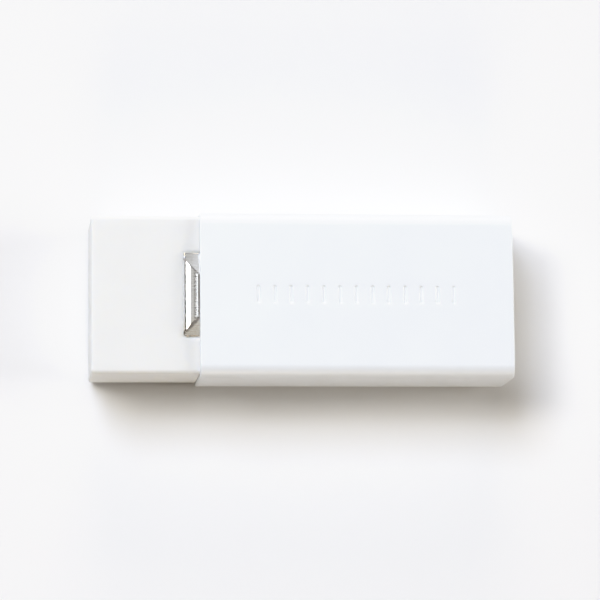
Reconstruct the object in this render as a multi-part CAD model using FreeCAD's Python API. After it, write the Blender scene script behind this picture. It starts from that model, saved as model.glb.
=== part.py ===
"""A hand-held block eraser in a thin metal sleeve, with a bent spring clip between the two.

Millimetres. X runs along the length: the rubbing end faces -X and the closed end +X. Z is up, and the
underside of the sleeve lies on Z = 0. Everything is symmetric about Y = 0, and the clip and the block
are also symmetric about the middle height MID_Z.
"""

import FreeCAD, Part
import math
import os

V = FreeCAD.Vector

# The whole object
TOTAL_LENGTH = 57.0
REACH = 14.54  # how far the block stands out of the sleeve's mouth

# Sleeve: drawn aluminium tube, painted
SLEEVE_WIDTH = 22.4
SLEEVE_HEIGHT = 12.6
SLEEVE_WALL = 0.5
SLEEVE_CORNER = 1.8  # outer corner radius
BORE_CORNER = 1.0  # inner corner radius
SLEEVE_BEVEL = 0.2  # on the outer edge of both ends

# Row of pressed bars on the sleeve's top face, a plain ornament
BAR_COUNT = 13
BAR_PITCH = 2.2
BAR_LENGTH = 2.5
BAR_WIDTH = 0.6
BAR_DEPTH = 0.15
BARS_X = 7.1  # middle of the row

# Rear cap: a shallow pressed cup, pushed into the back of the sleeve
CAP_RECESS = 0.3
CAP_PLATE = 0.8
CAP_DEPTH = 3.0
CAP_WALL = 0.5
CAP_EDGE = 0.25  # radius round the cap's outer face

# Block of soft vinyl
BLOCK_LENGTH = 44.5
BLOCK_WIDTH = 21.3
BLOCK_HEIGHT = 11.0
BLOCK_LONG_EDGE = 0.55  # radius of the four edges along X
BLOCK_END_EDGE = 0.35  # radius round both end faces

# Clip: one strip of spring steel, bent into a U round the back of the block
STRIP_WIDTH = 11.3
STRIP_THICKNESS = 0.3
STRIP_CORNER = 0.3  # radius of the strip's front corners, seen from above
LEG_GAP = 0.1  # between a leg and the sleeve's bore
WEB_GAP = 0.6  # between the web and the block's back
WEB_BEND = 0.5  # inner radius of the two rear bends
FOLD_REACH = 2.25  # from the mouth to the front of the fold
FOLD_HEIGHT = 0.76  # outside height of the fold
FRONT_SLOPE = math.radians(-11.0)  # the flap first rises towards the mouth, and then falls
REAR_SLOPE = math.radians(25.0)
FLAP_BEND = 1.2  # inner radius of the flap's gentle curve
KNEE_SHARE = 0.58  # where that curve is, from the fold to the crease
CREASE_REACH = 0.5  # from the mouth to the crease between flap and lip
CREASE_BEND = 0.06  # inner radius of the crease
LIP_REACH = 0.22  # from the mouth to the middle of the lip's free edge
LIP_RISE = 0.03  # from the crease to the free edge
FLAP_GAP = 0.04  # the flap is cut free of the leg down to the middle of this gap
FLAP_LONG = 9.9  # flap's width at the fold
FLAP_SHORT = 5.8  # flap's width at the lip's free edge

# Seats pressed into the block by the clip's legs
SEAT_CLEARANCE = 0.05

# Worked out from the sizes above
MID_Z = SLEEVE_HEIGHT / 2
TIP_X = -TOTAL_LENGTH / 2
REAR_X = TOTAL_LENGTH / 2
MOUTH_X = TIP_X + REACH
BORE_WIDTH = SLEEVE_WIDTH - 2 * SLEEVE_WALL
BORE_HEIGHT = SLEEVE_HEIGHT - 2 * SLEEVE_WALL
BLOCK_BACK_X = TIP_X + BLOCK_LENGTH
LEG_OUTER = BORE_HEIGHT / 2 - LEG_GAP  # from the middle height to a leg's outer face
LEG_INNER = LEG_OUTER - STRIP_THICKNESS
FOLD_X = MOUTH_X - FOLD_REACH
OVERRUN = 1.0  # how far a cutting tool passes the faces it cuts
TINY = 1e-6


def rounded_bar(x0, x1, width, height, radius):
    """A bar along X with a rounded-rectangle section about the middle height."""
    box = Part.makeBox(x1 - x0, width, height, V(x0, -width / 2, MID_Z - height / 2))
    along = [e for e in box.Edges if e.BoundBox.XLength > x1 - x0 - TINY]
    return box.makeFillet(radius, along)


def edges_at(shape, x):
    """The edges that lie in the plane at x."""
    return [e for e in shape.Edges if abs(e.BoundBox.XMin - x) < TINY and e.BoundBox.XLength < TINY]


def upright_capsule(x, length, width, z0, z1):
    """A slot-shaped column, round at both ends of its length along Y."""
    straight = length - width
    column = Part.makeBox(width, straight, z1 - z0, V(x - width / 2, -straight / 2, z0))
    for y in (-straight / 2, straight / 2):
        column = column.fuse(Part.makeCylinder(width / 2, z1 - z0, V(x, y, z0)))
    return column.removeSplitter()


def make_sleeve():
    """The tube, bevelled at both ends, with the row of bars pressed into its top face."""
    outer = rounded_bar(MOUTH_X, REAR_X, SLEEVE_WIDTH, SLEEVE_HEIGHT, SLEEVE_CORNER)
    outer = outer.makeChamfer(SLEEVE_BEVEL, edges_at(outer, MOUTH_X) + edges_at(outer, REAR_X))
    bore = rounded_bar(MOUTH_X - OVERRUN, REAR_X + OVERRUN, BORE_WIDTH, BORE_HEIGHT, BORE_CORNER)
    sleeve = outer.cut(bore)
    for i in range(BAR_COUNT):
        x = BARS_X + (i - (BAR_COUNT - 1) / 2) * BAR_PITCH
        bar = upright_capsule(x, BAR_LENGTH, BAR_WIDTH, SLEEVE_HEIGHT - BAR_DEPTH, SLEEVE_HEIGHT + OVERRUN)
        sleeve = sleeve.cut(bar)
    return sleeve


def make_rear_cap():
    """A cup with its flat outwards, just inside the sleeve's rear edge."""
    back = REAR_X - CAP_RECESS
    front = back - CAP_DEPTH
    cup = rounded_bar(front, back, BORE_WIDTH, BORE_HEIGHT, BORE_CORNER)
    cup = cup.makeFillet(CAP_EDGE, edges_at(cup, back))
    hollow = rounded_bar(
        front - OVERRUN,
        back - CAP_PLATE,
        BORE_WIDTH - 2 * CAP_WALL,
        BORE_HEIGHT - 2 * CAP_WALL,
        BORE_CORNER - CAP_WALL,
    )
    return cup.cut(hollow)


def make_block():
    """The soft block, with its edges eased and a shallow seat for each leg of the clip."""
    block = rounded_bar(TIP_X, BLOCK_BACK_X, BLOCK_WIDTH, BLOCK_HEIGHT, BLOCK_LONG_EDGE)
    block = block.makeFillet(BLOCK_END_EDGE, edges_at(block, TIP_X) + edges_at(block, BLOCK_BACK_X))
    seat_start = FOLD_X - 2 * SEAT_CLEARANCE
    seat_length = BLOCK_BACK_X + OVERRUN - seat_start
    seat_width = STRIP_WIDTH + 2 * SEAT_CLEARANCE
    seat_floor = LEG_INNER - SEAT_CLEARANCE
    for base in (MID_Z + seat_floor, MID_Z - seat_floor - OVERRUN):
        seat = Part.makeBox(seat_length, seat_width, OVERRUN, V(seat_start, -seat_width / 2, base))
        block = block.cut(seat)
    return block


def bent_strip(path, thickness, width):
    """A strip of even thickness that follows a path in the XZ plane, extruded along Y.

    path holds (x, z, radius) for the middle of the thickness; radius rounds that corner.
    """
    sides = {1: [], -1: []}
    ends = []
    at = V(path[0][0], 0, path[0][1])
    for i in range(1, len(path)):
        corner = V(path[i][0], 0, path[i][1])
        heading = (corner - V(path[i - 1][0], 0, path[i - 1][1])).normalize()
        left = V(-heading.z, 0, heading.x)
        offset = left * (thickness / 2)
        radius = path[i][2]
        leave = corner
        if radius:
            after = (V(path[i + 1][0], 0, path[i + 1][1]) - corner).normalize()
            turn = math.atan2(heading.x * after.z - heading.z * after.x, heading.dot(after))
            setback = radius * math.tan(abs(turn) / 2)
            leave = corner - heading * setback
        if i == 1:
            ends.append(Part.makeLine(at - offset, at + offset))
        if (leave - at).Length > TINY:
            for sign, edges in sides.items():
                edges.append(Part.makeLine(at + offset * sign, leave + offset * sign))
        if not radius:
            ends.append(Part.makeLine(leave - offset, leave + offset))
            break
        centre = leave + left * math.copysign(radius, turn)
        at = corner + after * setback
        middle = centre + (corner - centre).normalize() * radius
        for sign, edges in sides.items():
            scale = 1 - sign * math.copysign(thickness / 2 / radius, turn)
            arc = Part.Arc(*[centre + (point - centre) * scale for point in (leave, middle, at)])
            edges.append(arc.toShape())
    outline = Part.Wire(Part.__sortEdges__(sides[1] + sides[-1] + ends))
    return Part.Face(outline).extrude(V(0, width, 0)).translated(V(0, -width / 2, 0))


def clip_path():
    """The strip's middle line, from the upper lip round the back to the lower lip."""
    half = STRIP_THICKNESS / 2
    leg = LEG_OUTER - half
    fold_bend = FOLD_HEIGHT / 2 - half
    fold_centre_x = FOLD_X + half + fold_bend
    crease_x = MOUTH_X - CREASE_REACH
    knee_x = fold_centre_x + KNEE_SHARE * (crease_x - fold_centre_x)
    web_x = BLOCK_BACK_X + WEB_GAP + half
    fold_top = leg + fold_bend + fold_bend / math.cos(FRONT_SLOPE)

    def front_height(x):
        """The height of the sloping line that touches the top of the fold."""
        return fold_top - (x - fold_centre_x) * math.tan(FRONT_SLOPE)

    crease_z = front_height(knee_x) - (crease_x - knee_x) * math.tan(REAR_SLOPE)
    upper = [
        (MOUTH_X - LIP_REACH, crease_z + LIP_RISE, 0),
        (crease_x, crease_z, CREASE_BEND + half),
        (knee_x, front_height(knee_x), FLAP_BEND + half),
        (FOLD_X + half, front_height(FOLD_X + half), fold_bend),
        (FOLD_X + half, leg, fold_bend),
        (web_x, leg, WEB_BEND + half),
    ]
    lower = [(x, -z, r) for x, z, r in reversed(upper)]
    return [(x, MID_Z + z, r) for x, z, r in upper + lower]


def flap_trim(sign):
    """The prisms that cut one flap to its mitred shape; sign is 1 for the top and -1 below."""
    level = MID_Z + sign * (LEG_OUTER + FLAP_GAP / 2)
    front = FOLD_X - OVERRUN
    slope = (FLAP_LONG - FLAP_SHORT) / 2 / (FOLD_REACH - LIP_REACH)
    front_y = FLAP_LONG / 2 + slope * OVERRUN
    back_y = FLAP_LONG / 2 - slope * FOLD_REACH
    prisms = []
    for side in (-1, 1):
        corners = [
            V(front, side * front_y, level),
            V(MOUTH_X, side * back_y, level),
            V(MOUTH_X, side * STRIP_WIDTH, level),
            V(front, side * STRIP_WIDTH, level),
        ]
        face = Part.Face(Part.makePolygon(corners + corners[:1]))
        prisms.append(face.extrude(V(0, 0, sign * OVERRUN)))
    return prisms


def corner_trim():
    """Columns that round the strip's front corners, seen from above."""
    columns = []
    size = 2 * STRIP_CORNER
    for side in (-1, 1):
        x = FOLD_X + STRIP_CORNER
        y = side * (STRIP_WIDTH / 2 - STRIP_CORNER)
        column = Part.makeBox(size, size, SLEEVE_HEIGHT, V(x - size, min(y, y + side * size), 0))
        columns.append(column.cut(Part.makeCylinder(STRIP_CORNER, SLEEVE_HEIGHT, V(x, y, 0))))
    return columns


def make_clip():
    """The bent strip with both flaps mitred and its front corners rounded."""
    clip = bent_strip(clip_path(), STRIP_THICKNESS, STRIP_WIDTH)
    for tool in flap_trim(1) + flap_trim(-1) + corner_trim():
        clip = clip.cut(tool)
    return clip


PARTS = {
    "sleeve": make_sleeve,
    "rear_cap": make_rear_cap,
    "clip": make_clip,
    "eraser_block": make_block,
}

os.makedirs("parts", exist_ok=True)
for name, make in PARTS.items():
    shape = make()
    solid = shape.Solids[0]
    print(name, len(shape.Solids), shape.isValid(), round(solid.Volume, 2), solid.BoundBox)
    solid.exportStep(f"parts/{name}.step")
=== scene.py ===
"""The looks of the hand-held block eraser: sleeve, rear cap, clip and block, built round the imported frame.

Metres, in the frame's own axes: X along the length with the rubbing end at -X, Z up from the desk top.
Places come from the frame's boxes. Finer sizes are named below.
"""

import math

import bmesh
import bpy
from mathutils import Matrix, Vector, noise


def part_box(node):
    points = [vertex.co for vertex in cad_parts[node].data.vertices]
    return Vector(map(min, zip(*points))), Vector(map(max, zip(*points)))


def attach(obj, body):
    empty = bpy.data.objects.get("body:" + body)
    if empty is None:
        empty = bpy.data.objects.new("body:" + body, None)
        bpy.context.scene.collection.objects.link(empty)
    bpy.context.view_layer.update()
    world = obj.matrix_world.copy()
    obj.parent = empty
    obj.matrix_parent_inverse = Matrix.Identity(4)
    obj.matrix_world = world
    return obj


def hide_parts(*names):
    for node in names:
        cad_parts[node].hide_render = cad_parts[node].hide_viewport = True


MM = 0.001
SAME_PLACE = 1e-4 * MM  # points closer than this are one
HAIR = 1e-6 * MM  # allowed for rounding when sizes are compared

# Sleeve
WALL = 0.5 * MM
SLEEVE_CORNER = 1.8 * MM
BORE_CORNER = 1.0 * MM
RIM_ROUND = 0.2 * MM  # outer edge of both ends
RIM_INNER_ROUND = 0.08 * MM
CORNER_STEPS = 14  # in a corner's quarter turn
RIM_STEPS = 5  # in a quarter turn of a rim or of the cap's edges

# Row of pressed bars
BAR_COUNT = 13
BAR_PITCH = 2.2 * MM
BAR_LENGTH = 2.5 * MM
BAR_WIDTH = 0.6 * MM
BAR_DEPTH = 0.15 * MM
BARS_X = 7.1 * MM  # middle of the row
BAR_MARGIN = 0.5 * MM  # from a bar's end to the edge of its cell
BAR_SHOULDER = 0.04 * MM  # the slope starts this far outside the bar's outline
BAR_SLOPE = 0.27 * MM  # width of the slope, seen from above
BAR_SIDE_STEPS = 3  # in an eighth of a turn of a bar's round ends
BAR_SLOPE_STEPS = 7
BAR_TOLERANCE = 1e-3 * MM  # for telling which points lie on a cell's edge
BAR_DIGITS = 9  # decimals of a metre that tell those points apart

# Rear cap
CAP_PLATE = 0.8 * MM
CAP_WALL = 0.5 * MM
CAP_ROUND = 0.25 * MM
CAP_RIM_ROUND = 0.1 * MM

# Clip
STRIP_THICKNESS = 0.3 * MM
STRIP_EDGE_ROUND = 0.12 * MM
LEG_GAP = 0.1 * MM  # between a leg and the sleeve's bore
FOLD_HEIGHT = 0.76 * MM
FRONT_SLOPE = math.radians(-11.0)  # the flap first rises towards the mouth, and then falls
REAR_SLOPE = math.radians(25.0)
FOLD_LEAN = 0.24 * MM  # the top of the fold leans back this far
LEAN_FADE = 1.3 * MM  # length of the flap that leans with it
FLAP_BEND = 1.35 * MM  # radius of the flap's gentle curve
KNEE_SHARE = 0.58  # where that curve is, from the fold to the crease
CREASE_REACH = 0.5 * MM
CREASE_BEND = 0.06 * MM
LIP_REACH = 0.22 * MM
LIP_RISE = 0.024 * MM
WEB_BEND = 0.5 * MM
FLAP_LONG = 9.9 * MM  # flap's width at the front of the fold
FLAP_SHORT = 5.8 * MM  # flap's width at its free edge
FLAP_ASIDE = 0.18 * MM  # the flap's middle lies this far towards -Y
NEAR_CORNER = 0.45 * MM  # radius of the strip's front corners on the -Y side
FAR_CORNER = 0.15 * MM  # and on the +Y side
CROWN_START = 2.6 * MM  # the legs bend towards the block outside this half width
CROWN_TILT = math.radians(8.0)  # at a leg's edge
CROWN_RAMP = 1.0 * MM  # length over which the crown grows behind the fold, and fades before the web
FINE_STEP = 0.035 * MM  # between stations in the folds and the flaps
COARSE_STEP = 1.2 * MM  # and along the legs and the web
SHORT_RUN = 3 * MM  # straight runs shorter than this have fine stations
BEND_STATIONS = 6  # at least, in each bend
FOLD_NEAR = 0.02 * MM  # the flap ends where the strip is this near to the front of the fold
STRIP_COLUMNS = 80  # across the strip's width
STRIP_EDGE_STEPS = 5  # in a quarter turn of its edges
SHOULDER_RUN = 0.13 * MM  # width over which the fold gives way to the flat shoulders

# Block
BLOCK_LONG_ROUND = 0.55 * MM
BLOCK_LONG_STEPS = 8  # in a quarter turn of the long edges
BLOCK_END_ROUND = 0.35 * MM
BLOCK_END_STEPS = 5
BLOCK_STEP = 0.6 * MM  # between points on the wide faces
SEAT_STEP = 0.07 * MM  # and near the seats' edges
SEAT_REACH = 1.0 * MM  # how far to each side of a seat's edge the points are close
SEAT_PRESS = 0.01 * MM  # the pressed seat lies this far under the strip
SEAT_FADE = 0.22 * MM  # over this length beside a seat its depth falls to about a third
WAVE_HEIGHT = 0.012 * MM  # of the vinyl's unevenness
WAVE_SIZE = 6.0 * MM

FLAT_FACE_WEIGHT = 100  # the largest: large flat faces set the normals along their edges

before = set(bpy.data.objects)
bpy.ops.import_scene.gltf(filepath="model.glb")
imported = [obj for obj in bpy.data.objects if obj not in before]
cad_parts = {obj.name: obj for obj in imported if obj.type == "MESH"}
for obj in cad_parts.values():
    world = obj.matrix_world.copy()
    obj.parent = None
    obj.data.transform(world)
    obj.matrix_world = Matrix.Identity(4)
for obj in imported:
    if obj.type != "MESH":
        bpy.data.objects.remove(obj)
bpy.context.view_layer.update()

sleeve_low, sleeve_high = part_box("sleeve")
cap_low, cap_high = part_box("rear_cap")
clip_low, clip_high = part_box("clip")
block_low, block_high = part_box("eraser_block")

MOUTH_X = sleeve_low.x
REAR_X = sleeve_high.x
MID_Z = (sleeve_low.z + sleeve_high.z) / 2
SLEEVE_HALF_Y = (sleeve_high.y - sleeve_low.y) / 2
SLEEVE_HALF_Z = (sleeve_high.z - sleeve_low.z) / 2
BORE_HALF_Y = SLEEVE_HALF_Y - WALL
BORE_HALF_Z = SLEEVE_HALF_Z - WALL
STRIP_HALF = (clip_high.y - clip_low.y) / 2
FOLD_X = clip_low.x
BLOCK_HALF_Y = (block_high.y - block_low.y) / 2
BLOCK_HALF_Z = (block_high.z - block_low.z) / 2
SEAT_DEPTH = BLOCK_HALF_Z - (BORE_HALF_Z - LEG_GAP - STRIP_THICKNESS) + SEAT_PRESS


# --- Mesh helpers ---------------------------------------------------------------------------------


class Shell:
    """Collects faces, and gives points at the same place one vertex."""

    def __init__(self):
        self.verts = []
        self.faces = []
        self.known = {}

    def vert(self, point):
        key = tuple(round(c / SAME_PLACE) for c in point)
        if key not in self.known:
            self.known[key] = len(self.verts)
            self.verts.append(tuple(point))
        return self.known[key]

    def face(self, points):
        loop = []
        for p in points:
            v = self.vert(p)
            if v not in loop:
                loop.append(v)
        if len(loop) > 2:
            self.faces.append(loop)

    def span(self, first, second, skip=()):
        """Quads between two closed rings of points, leaving out the numbered spans."""
        n = len(first)
        for i in range(n):
            if i not in skip:
                j = (i + 1) % n
                self.face((first[i], first[j], second[j], second[i]))

    def fan(self, ring):
        """Triangles from a flat ring's middle, where one face would be cut into slivers."""
        centre = sum(ring, Vector()) / len(ring)
        for i in range(len(ring)):
            self.face((centre, ring[i], ring[(i + 1) % len(ring)]))

    def piece(self, name, material):
        """A smooth-shaded object whose large flat faces keep their own normal."""
        mesh = bpy.data.meshes.new(name)
        mesh.from_pydata(self.verts, [], self.faces)
        bm = bmesh.new()
        bm.from_mesh(mesh)
        bmesh.ops.recalc_face_normals(bm, faces=bm.faces)
        bm.to_mesh(mesh)
        bm.free()
        mesh.shade_smooth()
        mesh.materials.append(material)
        made = bpy.data.objects.new(name, mesh)
        bpy.context.scene.collection.objects.link(made)
        flat = made.modifiers.new("flat faces stay flat", "WEIGHTED_NORMAL")
        flat.weight = FLAT_FACE_WEIGHT
        return made


def quarter(steps):
    """Angles from 0 to a quarter turn."""
    return [math.pi / 2 * i / steps for i in range(steps + 1)]


def rounded_corners(flat_y, flat_z, radius, steps):
    """Four quarter turns of points (y, z), counter-clockwise seen from +X, from the top of the +Y side."""
    corners = []
    for corner, (sign_y, sign_z) in enumerate(((1, 1), (-1, 1), (-1, -1), (1, -1))):
        points = []
        for a in quarter(steps):
            turned = a + corner * math.pi / 2
            y = sign_y * flat_y + radius * math.cos(turned)
            z = sign_z * flat_z + radius * math.sin(turned)
            points.append((y, z))
        corners.append(points)
    return corners


def section(x, half_y, half_z, radius):
    """A rounded rectangle across X."""
    corners = rounded_corners(half_y - radius, half_z - radius, radius, CORNER_STEPS)
    return [Vector((x, y, MID_Z + z)) for corner in corners for y, z in corner]


# --- Sleeve ---------------------------------------------------------------------------------------


def sleeve_outer(x, inset):
    return section(x, SLEEVE_HALF_Y - inset, SLEEVE_HALF_Z - inset, SLEEVE_CORNER - inset)


def sleeve_inner(x, outset):
    return section(x, BORE_HALF_Y + outset, BORE_HALF_Z + outset, BORE_CORNER + outset)


def sleeve_rim(end_x, inward):
    """Rings round one end, from the outer face over the rim to the bore; inward is +1 or -1 along X."""
    rings = []
    for a in quarter(RIM_STEPS):
        x = end_x + inward * RIM_ROUND * (1 - math.sin(a))
        rings.append(sleeve_outer(x, RIM_ROUND * (1 - math.cos(a))))
    for a in quarter(RIM_STEPS):
        x = end_x + inward * RIM_INNER_ROUND * (1 - math.cos(a))
        rings.append(sleeve_inner(x, RIM_INNER_ROUND * (1 - math.sin(a))))
    return rings


def bar_outline(centre_x, inset, depth):
    """A bar's outline drawn in by inset, counter-clockwise from the +X side of its +Y end."""
    radius = BAR_WIDTH / 2 - inset
    straight = (BAR_LENGTH - BAR_WIDTH) / 2
    steps = 4 * BAR_SIDE_STEPS
    points = []
    for sign in (1, -1):
        for i in range(steps + 1):
            a = math.pi * i / steps
            x = centre_x + sign * radius * math.cos(a)
            y = sign * (straight + radius * math.sin(a))
            points.append(Vector((x, y, sleeve_high.z - depth)))
    return points


def bar_cell(centre_x):
    """The rectangle round a bar, with one point for each point of the bar's outline."""
    half_x = BAR_PITCH / 2
    half_y = BAR_LENGTH / 2 + BAR_MARGIN
    straight = (BAR_LENGTH - BAR_WIDTH) / 2
    n = BAR_SIDE_STEPS
    end = [(half_x, straight + (half_y - straight) * i / n) for i in range(n)]
    end += [(half_x * (1 - i / n), half_y) for i in range(2 * n + 1)]
    end += [(-half_x, half_y - (half_y - straight) * i / n) for i in range(1, n + 1)]
    return [Vector((centre_x + sign * x, sign * y, sleeve_high.z)) for sign in (1, -1) for x, y in end]


def press_bar(shell, centre_x):
    """One cell of the top face, with its bar pressed in by a rounded slope."""
    outer = bar_cell(centre_x)
    for i in range(BAR_SLOPE_STEPS + 1):
        share = i / BAR_SLOPE_STEPS
        depth = BAR_DEPTH * (1 - math.cos(math.pi * share)) / 2
        inner = bar_outline(centre_x, share * BAR_SLOPE - BAR_SHOULDER, depth)
        shell.span(outer, inner)
        outer = inner
    shell.face(outer)


def in_order(points, axis):
    """Points sorted along an axis, one for each place on it."""
    by_place = {round(getattr(p, axis), BAR_DIGITS): p for p in points}
    return [by_place[place] for place in sorted(by_place)]


def top_panel(shell, low_x, high_x):
    """The flat top face between the rims, with the row of bars in it."""
    half_y = SLEEVE_HALF_Y - SLEEVE_CORNER
    z = sleeve_high.z
    centres = [BARS_X + (i - (BAR_COUNT - 1) / 2) * BAR_PITCH for i in range(BAR_COUNT)]
    cells = [bar_cell(x) for x in centres]
    for x in centres:
        press_bar(shell, x)
    cell_y = cells[0][BAR_SIDE_STEPS].y
    first, last = centres[0] - BAR_PITCH / 2, centres[-1] + BAR_PITCH / 2
    for sign in (1, -1):
        edge = [p for cell in cells for p in cell if abs(p.y - sign * cell_y) < BAR_TOLERANCE]
        corners = [Vector((high_x, sign * half_y, z)), Vector((low_x, sign * half_y, z))]
        shell.face(corners + in_order(edge, "x"))
    for end_x, side_x, cell in ((low_x, first, cells[0]), (high_x, last, cells[-1])):
        edge = [p for p in cell if abs(p.x - side_x) < BAR_TOLERANCE]
        corners = [Vector((end_x, half_y, z)), Vector((end_x, -half_y, z))]
        shell.face(corners + in_order(edge, "y"))


def make_sleeve(material):
    shell = Shell()
    rings = sleeve_rim(MOUTH_X, 1) + sleeve_rim(REAR_X, -1)[::-1]
    for first, second in zip(rings, rings[1:]):
        shell.span(first, second)
    shell.span(rings[-1], rings[0], skip={CORNER_STEPS})
    top_panel(shell, MOUTH_X + RIM_ROUND, REAR_X - RIM_ROUND)
    return shell.piece("sleeve_shell", material)


# --- Rear cap -------------------------------------------------------------------------------------


def make_rear_cap(material):
    """A shallow cup with its plate outwards, its edges rounded."""
    shell = Shell()

    def ring(x, inset):
        return section(x, BORE_HALF_Y - inset, BORE_HALF_Z - inset, BORE_CORNER - inset)

    rings = []
    for a in quarter(RIM_STEPS):
        x = cap_high.x - CAP_ROUND * (1 - math.cos(a))
        rings.append(ring(x, CAP_ROUND * (1 - math.sin(a))))
    for a in quarter(RIM_STEPS):
        x = cap_low.x + CAP_RIM_ROUND * (1 - math.sin(a))
        rings.append(ring(x, CAP_RIM_ROUND * (1 - math.cos(a))))
    for a in quarter(RIM_STEPS):
        x = cap_low.x + CAP_RIM_ROUND * (1 - math.cos(a))
        rings.append(ring(x, CAP_WALL - CAP_RIM_ROUND * (1 - math.sin(a))))
    for a in quarter(RIM_STEPS):
        x = cap_high.x - CAP_PLATE - CAP_ROUND * (1 - math.sin(a))
        rings.append(ring(x, CAP_WALL + CAP_ROUND * (1 - math.cos(a))))
    for first, second in zip(rings, rings[1:]):
        shell.span(first, second)
    shell.face(rings[0])
    shell.face(rings[-1])
    return shell.piece("cap_shell", material)


# --- Clip -----------------------------------------------------------------------------------------


def clip_corners():
    """Corners (x, z, radius) of the strip's middle line, from the upper free edge to the lower one."""
    half = STRIP_THICKNESS / 2
    leg = BORE_HALF_Z - LEG_GAP - half
    fold_bend = FOLD_HEIGHT / 2 - half
    fold_centre_x = FOLD_X + half + fold_bend
    crease_x = MOUTH_X - CREASE_REACH
    knee_x = fold_centre_x + KNEE_SHARE * (crease_x - fold_centre_x)
    web_x = clip_high.x - half
    touch = leg + fold_bend + fold_bend / math.cos(FRONT_SLOPE)  # the front slope touches the fold's round

    def front_height(x):
        return touch - (x - fold_centre_x) * math.tan(FRONT_SLOPE)

    crease_z = front_height(knee_x) - (crease_x - knee_x) * math.tan(REAR_SLOPE)
    upper = [
        (MOUTH_X - LIP_REACH, crease_z + LIP_RISE, 0),
        (crease_x, crease_z, CREASE_BEND + half),
        (knee_x, front_height(knee_x), FLAP_BEND),
        (FOLD_X + half, front_height(FOLD_X + half), fold_bend),
        (FOLD_X + half, leg, fold_bend),
        (web_x, leg, WEB_BEND + half),
    ]
    lower = [(x, -z, r) for x, z, r in reversed(upper)]
    return upper + lower


def bent_path(corners):
    """Stations (point, heading, distance) along a path in XZ whose corners are rounded."""
    stations = []
    travelled = 0.0

    def add(point, heading):
        nonlocal travelled
        if stations:
            travelled += (point - stations[-1][0]).length
            if (point - stations[-1][0]).length < SAME_PLACE:
                return
        stations.append((point, heading, travelled))

    at = Vector(corners[0][:2])
    for i in range(1, len(corners)):
        corner = Vector(corners[i][:2])
        radius = corners[i][2]
        heading = (corner - Vector(corners[i - 1][:2])).normalized()
        leave, turn = corner, 0.0
        if radius:
            after = (Vector(corners[i + 1][:2]) - corner).normalized()
            turn = math.atan2(heading.x * after.y - heading.y * after.x, heading.dot(after))
            leave = corner - heading * radius * math.tan(abs(turn) / 2)
        run = (leave - at).length
        step = FINE_STEP if run < SHORT_RUN else COARSE_STEP
        count = max(1, round(run / step))
        for k in range(count + 1):
            add(at.lerp(leave, k / count), math.atan2(heading.y, heading.x))
        if not radius:
            break
        side = math.copysign(1, turn)
        centre = leave + Vector((-heading.y, heading.x)) * side * radius
        count = max(BEND_STATIONS, round(abs(turn) * radius / FINE_STEP))
        for k in range(1, count + 1):
            angle = math.atan2(heading.y, heading.x) + turn * k / count
            add(centre - Vector((-math.sin(angle), math.cos(angle))) * side * radius, angle)
        at = stations[-1][0]
    return stations


def smooth_step(value):
    """0 below 0, 1 above 1, and an easy curve between."""
    t = min(max(value, 0.0), 1.0)
    return t * t * (3 - 2 * t)


def fold_lean(x, height):
    """How far a point of the fold at a height above the leg leans back."""
    fade = 1 - smooth_step((x - FOLD_X) / LEAN_FADE)
    return FOLD_LEAN * smooth_step(height / FOLD_HEIGHT) * fade


def crown_drop(y):
    """How far a leg's outer part bends towards the block."""
    outside = max(0.0, abs(y) - CROWN_START)
    return math.tan(CROWN_TILT) * outside**2 / (2 * (STRIP_HALF - CROWN_START))


def strip_half_width(from_edge, flap_length, corner, aside):
    """Half the strip's width at a distance from its free edge: the mitred flap, then a rounded corner."""
    if from_edge < flap_length:
        return (FLAP_SHORT + (FLAP_LONG - FLAP_SHORT) * from_edge / flap_length) / 2 + aside
    past = from_edge - flap_length
    if past < corner:
        return STRIP_HALF - corner + math.sqrt(corner**2 - (corner - past) ** 2)
    return STRIP_HALF


def strip_outline(near, far):
    """The strip's rounded cross-section from y = -near to y = far, as (y, height) round the ring."""
    half = STRIP_THICKNESS / 2
    middle = (far - near) / 2
    flat = (far + near) / 2 - STRIP_EDGE_ROUND

    def edge(along, across):
        """How far out and how high a point of the rounded edge is, from shares of its radius."""
        return flat + STRIP_EDGE_ROUND * along, half - STRIP_EDGE_ROUND + STRIP_EDGE_ROUND * across

    outline = []
    for sign in (1, -1):
        for k in range(STRIP_COLUMNS + 1):
            outline.append((middle + sign * flat * math.cos(math.pi * k / STRIP_COLUMNS), sign * half))
        for a in quarter(STRIP_EDGE_STEPS)[1:]:
            out, height = edge(math.sin(a), math.cos(a))
            outline.append((middle - sign * out, sign * height))
        for a in quarter(STRIP_EDGE_STEPS)[:-1]:
            out, height = edge(math.cos(a), math.sin(a))
            outline.append((middle - sign * out, -sign * height))
    return outline


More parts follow.
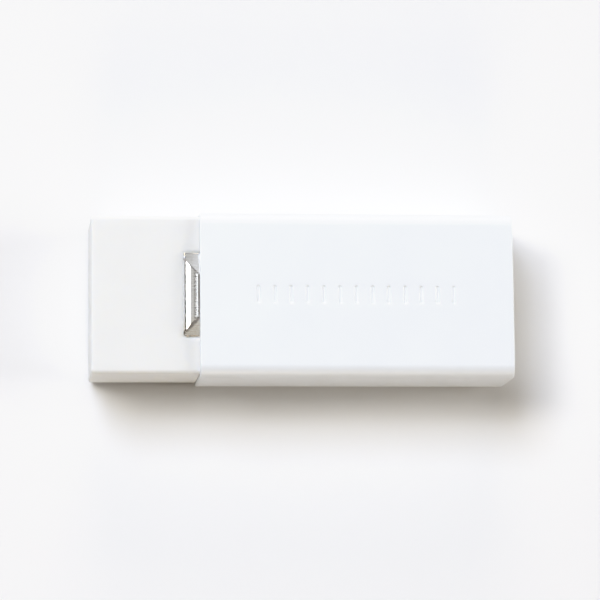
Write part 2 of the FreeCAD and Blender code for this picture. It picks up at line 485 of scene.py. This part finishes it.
def make_clip(material):
    """The strip, folded back over its middle part, with flat shoulders on both sides of the fold."""
    shell = Shell()
    stations = bent_path(clip_corners())
    total = stations[-1][2]
    half = STRIP_THICKNESS / 2
    fold_bend = FOLD_HEIGHT / 2 - half
    leg = BORE_HALF_Z - LEG_GAP - half
    fold_end_x = FOLD_X + half + fold_bend
    flap_length = next(s for point, heading, s in stations if point.x < FOLD_X + half + FOLD_NEAR)
    bend_length = fold_bend * math.pi / 2
    rings = []
    for point, heading, s in stations:
        from_edge = min(s, total - s)
        near = strip_half_width(from_edge, flap_length, NEAR_CORNER, FLAP_ASIDE)
        far = strip_half_width(from_edge, flap_length, FAR_CORNER, -FLAP_ASIDE)
        into_leg = from_edge - flap_length - bend_length
        before_web = clip_high.x - CROWN_RAMP - point.x
        crown = smooth_step(into_leg / CROWN_RAMP) * smooth_step(before_web / CROWN_RAMP)
        upper = math.copysign(1, point.y)
        normal = Vector((-math.sin(heading), math.cos(heading)))
        ring = []
        for y, height in strip_outline(near, far):
            at = point + normal * height
            if from_edge > flap_length and into_leg < 0:
                shoulder = smooth_step((abs(y + FLAP_ASIDE) - FLAP_LONG / 2) / SHOULDER_RUN)
                at = at.lerp(Vector((fold_end_x + into_leg, upper * (leg + height))), shoulder)
            x = at.x + fold_lean(at.x, upper * at.y - leg)
            ring.append(Vector((x, y, MID_Z + at.y - upper * crown * crown_drop(y))))
        rings.append(ring)
    for first, second in zip(rings, rings[1:]):
        shell.span(first, second)
    shell.face(rings[0])
    shell.face(rings[-1])
    return shell.piece("clip_strip", material)


# --- Block ----------------------------------------------------------------------------------------


def spaced(low, high, seat_edges=()):
    """Values between low and high, close together near the seats' edges."""
    values = [low]
    while values[-1] < high - HAIR:
        middle = values[-1] + BLOCK_STEP / 2
        near = any(abs(middle - edge) < SEAT_REACH + BLOCK_STEP / 2 for edge in seat_edges)
        values.append(min(high, values[-1] + (SEAT_STEP if near else BLOCK_STEP)))
    return values[1:-1]


def seat_depth(x, y):
    """How far the clip's leg presses the block in at a place on its wide faces."""
    outside_y = max(0.0, abs(y) - STRIP_HALF)
    outside_x = max(0.0, FOLD_X - x)
    outside = math.hypot(outside_x, outside_y)
    crown = smooth_step((x - FOLD_X) / CROWN_RAMP)
    depth = SEAT_DEPTH + crown * crown_drop(min(abs(y), STRIP_HALF))
    return depth * math.exp(-outside / SEAT_FADE)


def block_section(x, inset):
    """A ring round the block at x, drawn in by inset, with points across the wide faces for the seats."""
    radius = BLOCK_LONG_ROUND - inset
    flat_y = BLOCK_HALF_Y - BLOCK_LONG_ROUND
    flat_z = BLOCK_HALF_Z - BLOCK_LONG_ROUND
    corners = rounded_corners(flat_y, flat_z, radius, BLOCK_LONG_STEPS)
    ys = spaced(-flat_y, flat_y, seat_edges=(-STRIP_HALF, STRIP_HALF))
    zs = spaced(-flat_z, flat_z)
    upper = [(y, flat_z + radius) for y in reversed(ys)]
    near_side = [(-flat_y - radius, z) for z in reversed(zs)]
    lower = [(y, -flat_z - radius) for y in ys]
    far_side = [(flat_y + radius, z) for z in zs]
    points = []
    for corner, side in zip(corners, (upper, near_side, lower, far_side)):
        for y, z in corner + side:
            if abs(z) > flat_z + radius - HAIR:
                z -= math.copysign(seat_depth(x, y), z)
            points.append(Vector((x, y, MID_Z + z)))
    return points


def soften(point):
    """A point moved inwards by the slight unevenness of soft vinyl."""
    centre = Vector((point.x, 0, MID_Z))
    wave = (noise.noise(point / WAVE_SIZE) + 1) / 2
    return point + (centre - point).normalized() * WAVE_HEIGHT * wave


def block_end(end_x, inward):
    """Rings over one end's rounded edge, from the flat end; inward is +1 or -1 along X."""
    rings = []
    for a in quarter(BLOCK_END_STEPS):
        x = end_x + inward * BLOCK_END_ROUND * (1 - math.cos(a))
        rings.append(block_section(x, BLOCK_END_ROUND * (1 - math.sin(a))))
    return rings


def make_block(material):
    shell = Shell()
    between = spaced(block_low.x + BLOCK_END_ROUND, block_high.x - BLOCK_END_ROUND, seat_edges=(FOLD_X,))
    rings = block_end(block_low.x, 1)
    rings += [block_section(x, 0) for x in between]
    rings += block_end(block_high.x, -1)[::-1]
    rings = [[soften(p) for p in ring] for ring in rings]
    for first, second in zip(rings, rings[1:]):
        shell.span(first, second)
    shell.fan(rings[0])
    shell.fan(rings[-1])
    return shell.piece("block_body", material)


# --- Materials ------------------------------------------------------------------------------------

# Each pair of tones or of roughnesses is the range that a material wanders in
PAINT_TONES = ((0.778, 0.806, 0.834), (0.79, 0.818, 0.846))
PAINT_ROUGHNESS = (0.3, 0.4)
PAINT_CLOUD = 9 * MM  # size of the clouds in its tone
PAINT_SHEEN = 1.5 * MM  # size of the patches in its gloss
PAINT_PEEL = 0.45 * MM
PAINT_PEEL_HEIGHT = 0.0012 * MM

VINYL_TONES = ((0.765, 0.772, 0.764), (0.775, 0.782, 0.774))
VINYL_ROUGHNESS = (0.52, 0.66)
VINYL_CLOUD = 5 * MM
VINYL_SHEEN = 0.8 * MM
VINYL_GRAIN = 0.12 * MM
VINYL_GRAIN_HEIGHT = 0.002 * MM
VINYL_DENT = 1.6 * MM
VINYL_DENT_HEIGHT = 0.006 * MM
VINYL_SCATTER = 0.3  # share of the light that enters it
VINYL_SCATTER_REACH = 0.6 * MM
VINYL_SCATTER_TINT = (1.0, 0.9, 0.7)

STEEL_TONES = ((0.86, 0.87, 0.88), (0.92, 0.93, 0.94))
STEEL_ROUGHNESS = (0.23, 0.29)
STEEL_STAIN = 0.9 * MM
STEEL_MARK = 0.05 * MM  # width of the rolling marks
STEEL_MARK_STRETCH = 0.04  # their width as a share of their length
STEEL_MARK_HEIGHT = 0.0002 * MM
# Painted shade on the clip: a warm tone for the shade on the near side of its bare end
NEAR_SHADE_TONE = (0.84, 0.8, 0.72)
# and a dark tone for the painted shade beside the flap's slanting edges and in the gap at the sleeve's mouth
PAINTED_SHADE_TONE = (0.3, 0.27, 0.25)
SHADE_PATCH = 0.4 * MM
SHADE_AMOUNT = (0.6, 1.0)  # how dark the patches are, as shares
BARE_INSIDE = 0.5 * MM  # the painted shade on the strip starts this far inside the mouth
BARE_OUTSIDE = 0.3 * MM  # and is full this far outside it
NEAR_SHADE_FROM = -2.6 * MM  # in Y, the warm painted shade on the near side starts here
NEAR_SHADE_TO = -4.4 * MM  # and is full here
NEAR_EDGE_SHADE = 0.75 * MM  # width of the painted shade beside the flap, on the -Y side
FAR_EDGE_SHADE = 0.4 * MM  # and on the +Y side
FULL_EDGE_SHADE = 1 / 3  # share of that width where it is full
EDGE_SHADE_START = 0.15 * MM  # it starts this far inside the flap's edge
# Painted shade across the mouth: the distance at which it starts, and that at which it is full
MOUTH_SHADE_Y = (3.2 * MM, 2.6 * MM)  # to each side of the middle
MOUTH_SHADE_INSIDE = (0.5 * MM, 0.1 * MM)  # from the mouth into the sleeve
MOUTH_SHADE_OUTSIDE = (0.3 * MM, 0.18 * MM)  # from the mouth outwards

TABLE_TONES = ((0.819, 0.819, 0.819), (0.821, 0.821, 0.821))
TABLE_CLOUD = 40 * MM
TABLE_ROUGHNESS = 0.8

# Most of a noise texture's values lie between these two
NOISE_LOW = 0.3
NOISE_HIGH = 0.7


class Finish:
    """A node material, and the nodes that give it detail in the object's own coordinates."""

    def __init__(self, name):
        self.material = bpy.data.materials.new(name)
        self.material.use_nodes = True
        self.nodes = self.material.node_tree.nodes
        self.links = self.material.node_tree.links
        self.inputs = self.nodes["Principled BSDF"].inputs

    def place(self):
        return self.nodes.new("ShaderNodeTexCoord").outputs["Object"]

    def noise(self, size, detail=3.0, stretch=(1, 1, 1)):
        """Noise whose features have this size, in metres."""
        scaled = self.nodes.new("ShaderNodeMapping")
        scaled.inputs["Scale"].default_value = [s / size for s in stretch]
        texture = self.nodes.new("ShaderNodeTexNoise")
        texture.inputs["Scale"].default_value = 1.0
        texture.inputs["Detail"].default_value = detail
        self.links.new(self.place(), scaled.inputs["Vector"])
        self.links.new(scaled.outputs["Vector"], texture.inputs["Vector"])
        return texture.outputs["Fac"]

    def spread(self, value, low, high):
        """Maps a noise's values to a range."""
        node = self.nodes.new("ShaderNodeMapRange")
        node.inputs["From Min"].default_value = NOISE_LOW
        node.inputs["From Max"].default_value = NOISE_HIGH
        node.inputs["To Min"].default_value = low
        node.inputs["To Max"].default_value = high
        self.links.new(value, node.inputs["Value"])
        return node.outputs["Result"]

    def ramp(self, value, none, full):
        """An easy curve from 0 where the value is none to 1 where it is full."""
        node = self.nodes.new("ShaderNodeMapRange")
        node.interpolation_type = "SMOOTHSTEP"
        node.inputs["From Min"].default_value = none
        node.inputs["From Max"].default_value = full
        self.links.new(value, node.inputs["Value"])
        return node.outputs["Result"]

    def combine(self, operation, *values):
        node = self.nodes.new("ShaderNodeMath")
        node.operation = operation
        for socket, value in zip(node.inputs, values):
            self.links.new(value, socket)
        return node.outputs["Value"]

    def blend(self, amount, first, second):
        """The first colour, or output, where the amount is 0, and the second colour where it is 1."""
        node = self.nodes.new("ShaderNodeMix")
        node.data_type = "RGBA"
        if isinstance(first, bpy.types.NodeSocket):
            self.links.new(first, node.inputs["A"])
        else:
            node.inputs["A"].default_value = (*first, 1)
        node.inputs["B"].default_value = (*second, 1)
        self.links.new(amount, node.inputs["Factor"])
        return node.outputs["Result"]

    def bump(self, height, distance, under=None):
        node = self.nodes.new("ShaderNodeBump")
        node.inputs["Distance"].default_value = distance
        self.links.new(height, node.inputs["Height"])
        if under is not None:
            self.links.new(under, node.inputs["Normal"])
        return node.outputs["Normal"]

    def clouded(self, size, tones, detail=3.0):
        """A tone that wanders between two."""
        return self.blend(self.spread(self.noise(size, detail), 0, 1), *tones)

    def wire(self, tone, gloss=None, normal=None):
        """Links the detail to the shader."""
        for name, output in (("Base Color", tone), ("Roughness", gloss), ("Normal", normal)):
            if output is not None:
                self.links.new(output, self.inputs[name])


def paint_material():
    """Cool white satin paint with a faint orange peel."""
    paint = Finish("satin_paint")
    tone = paint.clouded(PAINT_CLOUD, PAINT_TONES)
    gloss = paint.spread(paint.noise(PAINT_SHEEN, detail=5), *PAINT_ROUGHNESS)
    peel = paint.bump(paint.noise(PAINT_PEEL, detail=2), PAINT_PEEL_HEIGHT)
    paint.wire(tone, gloss, peel)
    return paint.material


def vinyl_material():
    """Soft white vinyl: matt, slightly translucent, with a fine moulded grain."""
    vinyl = Finish("soft_vinyl")
    tone = vinyl.clouded(VINYL_CLOUD, VINYL_TONES, detail=4)
    gloss = vinyl.spread(vinyl.noise(VINYL_SHEEN, detail=4), *VINYL_ROUGHNESS)
    grain = vinyl.bump(vinyl.noise(VINYL_GRAIN, detail=3), VINYL_GRAIN_HEIGHT)
    dents = vinyl.bump(vinyl.noise(VINYL_DENT, detail=2), VINYL_DENT_HEIGHT, under=grain)
    vinyl.wire(tone, gloss, dents)
    vinyl.inputs["Subsurface Weight"].default_value = VINYL_SCATTER
    vinyl.inputs["Subsurface Radius"].default_value = VINYL_SCATTER_TINT
    vinyl.inputs["Subsurface Scale"].default_value = VINYL_SCATTER_REACH
    return vinyl.material


def shade_beside_flap(steel, side, width):
    """A line of painted shade along one of the flap's slanting edges; side is +1 or -1 along Y."""
    slant = (FLAP_LONG - FLAP_SHORT) / 2 / (MOUTH_X - LIP_REACH - FOLD_X)
    outwards = steel.nodes.new("ShaderNodeVectorMath")
    outwards.operation = "DOT_PRODUCT"
    outwards.inputs[1].default_value = (slant, side, 0)
    steel.links.new(steel.place(), outwards.inputs[0])
    edge = slant * FOLD_X + FLAP_LONG / 2 - side * FLAP_ASIDE
    near_edge = steel.ramp(outwards.outputs["Value"], edge + width, edge + width * FULL_EDGE_SHADE)
    off_flap = steel.ramp(outwards.outputs["Value"], edge - EDGE_SHADE_START, edge)
    return steel.combine("MULTIPLY", near_edge, off_flap)


def steel_painted_shade(steel):
    """Masks of painted shade: a warm shade on the -Y side of the strip's bare end, and a dark shade.

    The dark painted shade lies beside the flap's two slanting edges, and across the flap's width at the
    sleeve's mouth.
    """
    axes = steel.nodes.new("ShaderNodeSeparateXYZ")
    steel.links.new(steel.place(), axes.inputs["Vector"])
    along, across = axes.outputs["X"], axes.outputs["Y"]
    bare = steel.ramp(along, MOUTH_X + BARE_INSIDE, MOUTH_X - BARE_OUTSIDE)
    near_side_shade = steel.combine("MULTIPLY", bare, steel.ramp(across, NEAR_SHADE_FROM, NEAR_SHADE_TO))

    near_line = shade_beside_flap(steel, -1, NEAR_EDGE_SHADE)
    far_line = shade_beside_flap(steel, 1, FAR_EDGE_SHADE)
    corners = steel.combine("MULTIPLY", steel.combine("MAXIMUM", near_line, far_line), bare)

    inside = steel.ramp(along, *(MOUTH_X + x for x in MOUTH_SHADE_INSIDE))
    outside = steel.ramp(along, *(MOUTH_X - x for x in MOUTH_SHADE_OUTSIDE))
    middle = steel.ramp(steel.combine("ABSOLUTE", across), *MOUTH_SHADE_Y)
    mouth = steel.combine("MULTIPLY", steel.combine("MULTIPLY", inside, outside), middle)

    # the darkness of the painted shade wanders in patches
    patches = steel.spread(steel.noise(SHADE_PATCH, detail=4), *SHADE_AMOUNT)
    painted_shade = steel.combine("MULTIPLY", steel.combine("MAXIMUM", corners, mouth), patches)
    return near_side_shade, painted_shade


def steel_material():
    """Bright spring steel with fine rolling marks along the strip, and painted shade at its bare end and at
    the sleeve's mouth.
    """
    steel = Finish("bright_steel")
    stretch = (STEEL_MARK_STRETCH, 1, STEEL_MARK_STRETCH)
    marks = steel.noise(STEEL_MARK, detail=4, stretch=stretch)
    near_side_shade, painted_shade = steel_painted_shade(steel)
    tone = steel.clouded(STEEL_STAIN, STEEL_TONES, detail=5)
    # painted shade: warm on the near side of the bare end, dark beside the flap and at the mouth
    tone = steel.blend(near_side_shade, tone, NEAR_SHADE_TONE)
    tone = steel.blend(painted_shade, tone, PAINTED_SHADE_TONE)
    gloss = steel.spread(marks, *STEEL_ROUGHNESS)
    steel.wire(tone, gloss, steel.bump(marks, STEEL_MARK_HEIGHT))
    steel.inputs["Metallic"].default_value = 1.0
    return steel.material


def table_material():
    """A matt, nearly even pale grey."""
    table = Finish("table")
    table.wire(table.clouded(TABLE_CLOUD, TABLE_TONES))
    table.inputs["Roughness"].default_value = TABLE_ROUGHNESS
    table.inputs["Specular IOR Level"].default_value = 0.0
    return table.material


# --- Pieces ---------------------------------------------------------------------------------------

paint = paint_material()

sleeve = make_sleeve(paint)
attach(sleeve, "sleeve_body")
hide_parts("sleeve")

rear_cap = make_rear_cap(paint)
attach(rear_cap, "sleeve_body")
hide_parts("rear_cap")

clip = make_clip(steel_material())
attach(clip, "clip_body")
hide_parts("clip")

block = make_block(vinyl_material())
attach(block, "block_body")
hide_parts("eraser_block")


# --- Floor, light and camera ----------------------------------------------------------------------

FLOOR_SIZE = 4.0

LAMP_DISTANCE = 2.5
COOL = (0.78, 0.85, 1.0)  # tints of the lamps
NEUTRAL = (1.0, 1.0, 1.0)
CREAM = (1.0, 0.97, 0.92)
WARM = (1.0, 0.8, 0.55)

WALL_TONE = 0.93
WALL_TOP = 0.1  # sine of its top's height above the horizon
WALL_FADE = 0.02  # sine over which it fades into the dark above

# Tones above the knee, in linear light, rise more slowly
WHITE_KNEE = 0.93
WHITE_SLOPE = 0.35
WHITE_TOP = 3.0
ALL_CHANNELS = 3  # number of the curve for red, green and blue together

# Camera, above the table and a little towards the rubbing end's near side
CAMERA_AT = Vector((-42.0, -57.9, 409.2)) * MM
CAMERA_LOOK = Vector((0.24, 0.31, 5.0)) * MM
CAMERA_ROLL = -0.0102  # radians, from X lying level in the picture
CAMERA_LENS = 180.3  # millimetres, as is the sensor's width
CAMERA_SENSOR = 36.0
CAMERA_NEAREST = 0.01


def make_floor():
    """A plain pale table top."""
    half = FLOOR_SIZE / 2
    corners = [(x * half, y * half, 0) for x, y in ((-1, -1), (1, -1), (1, 1), (-1, 1))]
    mesh = bpy.data.meshes.new("table")
    mesh.from_pydata(corners, [], [(0, 1, 2, 3)])
    mesh.materials.append(table_material())
    floor = bpy.data.objects.new("table", mesh)
    bpy.context.scene.collection.objects.link(floor)


def soft_lamp(name, slopes, radius, power, colour):
    """A round soft box facing the object. Its place and radius are slopes from the vertical."""
    away = Vector((*slopes, 1)).normalized() * LAMP_DISTANCE
    lamp = bpy.data.lights.new(name, "AREA")
    lamp.shape = "DISK"
    lamp.size = 2 * radius * away.z
    lamp.energy = power
    lamp.color = colour
    made = bpy.data.objects.new(name, lamp)
    made.location = away
    made.rotation_euler = (-away).to_track_quat("-Z", "Y").to_euler()
    made.visible_camera = False
    bpy.context.scene.collection.objects.link(made)


def make_lights():
    soft_lamp("key", slopes=(-0.4, 0.6), radius=0.3, power=40, colour=COOL)
    soft_lamp("core", slopes=(-0.35, 0.2), radius=0.15, power=5, colour=NEUTRAL)
    soft_lamp("left", slopes=(-0.7, 0.3), radius=0.2, power=23, colour=CREAM)
    soft_lamp("overhead", slopes=(0.3, 0.15), radius=0.5, power=7.5, colour=CREAM)
    soft_lamp("low_near", slopes=(0.0, -3.0), radius=0.6, power=15, colour=WARM)
    soft_lamp("low_right", slopes=(3.0, 0.0), radius=0.6, power=28, colour=CREAM)
    soft_lamp("low_far", slopes=(0.0, 3.0), radius=0.6, power=12, colour=WARM)


def make_studio():
    """The pale studio wall, a low band of light all round above the edge of the table."""
    world = bpy.data.worlds.new("studio")
    world.use_nodes = True
    nodes, links = world.node_tree.nodes, world.node_tree.links
    background = nodes["Background"]
    background.inputs["Color"].default_value = (WALL_TONE, WALL_TONE, WALL_TONE, 1)
    direction = nodes.new("ShaderNodeTexCoord")
    height = nodes.new("ShaderNodeSeparateXYZ")
    edge = nodes.new("ShaderNodeMapRange")
    edge.inputs["From Min"].default_value = WALL_TOP
    edge.inputs["From Max"].default_value = WALL_TOP + WALL_FADE
    edge.inputs["To Min"].default_value = 1.0
    edge.inputs["To Max"].default_value = 0.0
    links.new(direction.outputs["Generated"], height.inputs["Vector"])
    links.new(height.outputs["Z"], edge.inputs["Value"])
    links.new(edge.outputs["Result"], background.inputs["Strength"])
    bpy.context.scene.world = world


def make_camera():
    camera = bpy.data.cameras.new("camera")
    camera.lens = CAMERA_LENS
    camera.sensor_width = CAMERA_SENSOR
    camera.clip_start = CAMERA_NEAREST
    made = bpy.data.objects.new("camera", camera)
    forward = (CAMERA_LOOK - CAMERA_AT).normalized()
    level = forward.cross(Vector((0, 1, 0))).normalized()
    upright = level.cross(forward)
    right = math.cos(CAMERA_ROLL) * level + math.sin(CAMERA_ROLL) * upright
    up = right.cross(forward)
    turn = made.matrix_world.to_3x3()
    turn.col[0], turn.col[1], turn.col[2] = right, up, -forward
    made.matrix_world = turn.to_4x4()
    made.location = CAMERA_AT
    bpy.context.scene.collection.objects.link(made)
    bpy.context.scene.camera = made


def set_view():
    """Standard colours, with whites paler than the table pressed together, as in a bright studio shot."""
    view = bpy.context.scene.view_settings
    view.view_transform = "Standard"
    view.use_curve_mapping = True
    view.curve_mapping.use_clip = False
    tone = view.curve_mapping.curves[ALL_CHANNELS]
    tone.points[1].location = (WHITE_TOP, WHITE_KNEE + WHITE_SLOPE * (WHITE_TOP - WHITE_KNEE))
    tone.points.new(WHITE_KNEE, WHITE_KNEE)
    for point in tone.points:
        point.handle_type = "VECTOR"
    view.curve_mapping.update()


make_floor()
make_lights()
make_studio()
make_camera()
set_view()
